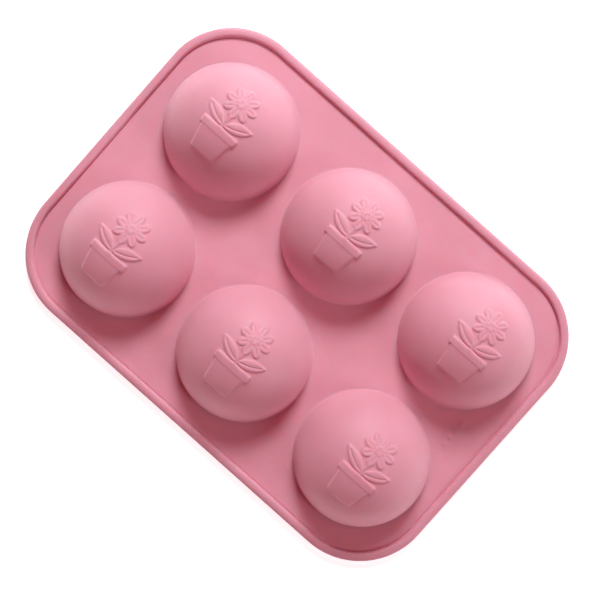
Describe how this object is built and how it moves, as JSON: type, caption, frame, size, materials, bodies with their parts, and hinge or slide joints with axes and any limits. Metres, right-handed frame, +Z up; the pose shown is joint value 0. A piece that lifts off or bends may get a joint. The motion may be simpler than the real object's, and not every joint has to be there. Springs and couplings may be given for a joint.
{
  "type": "silicone soap mould",
  "caption": "Flexible pink silicone tray mould with a raised rim and half-sphere cavities, shown domes up; each crown presses in to push the soap out.",
  "frame": {"origin": "under the tray's centre, at the height of the rim's pour-side face, which rests on the table", "axes": "+X along the tray's long side, +Y along its short side, +Z up towards the domes, which are the outsides of the cavities"},
  "size_m": [0.27, 0.19, 0.0378],
  "materials": {
    "pink_silicone": "matte"
  },
  "bodies": {
    "tray": {"rim": "pink_silicone", "deck": "pink_silicone", "cup_wall_1": "pink_silicone", "cup_wall_2": "pink_silicone", "cup_wall_3": "pink_silicone", "cup_wall_4": "pink_silicone", "cup_wall_5": "pink_silicone", "cup_wall_6": "pink_silicone"},
    "crown_1": {"cup_crown_1": "pink_silicone"},
    "crown_2": {"cup_crown_2": "pink_silicone"},
    "crown_3": {"cup_crown_3": "pink_silicone"},
    "crown_4": {"cup_crown_4": "pink_silicone"},
    "crown_5": {"cup_crown_5": "pink_silicone"},
    "crown_6": {"cup_crown_6": "pink_silicone"}
  },
  "joints": [
    {"name": "press_1", "type": "slide", "parent": "tray", "child": "crown_1", "axis": [0, 0, -1], "range_m": [0, 0.015], "stiffness_N_per_m": 800},
    {"name": "press_2", "type": "slide", "parent": "tray", "child": "crown_2", "axis": [0, 0, -1], "range_m": [0, 0.015], "stiffness_N_per_m": 800},
    {"name": "press_3", "type": "slide", "parent": "tray", "child": "crown_3", "axis": [0, 0, -1], "range_m": [0, 0.015], "stiffness_N_per_m": 800},
    {"name": "press_4", "type": "slide", "parent": "tray", "child": "crown_4", "axis": [0, 0, -1], "range_m": [0, 0.015], "stiffness_N_per_m": 800},
    {"name": "press_5", "type": "slide", "parent": "tray", "child": "crown_5", "axis": [0, 0, -1], "range_m": [0, 0.015], "stiffness_N_per_m": 800},
    {"name": "press_6", "type": "slide", "parent": "tray", "child": "crown_6", "axis": [0, 0, -1], "range_m": [0, 0.015], "stiffness_N_per_m": 800}
  ]
}
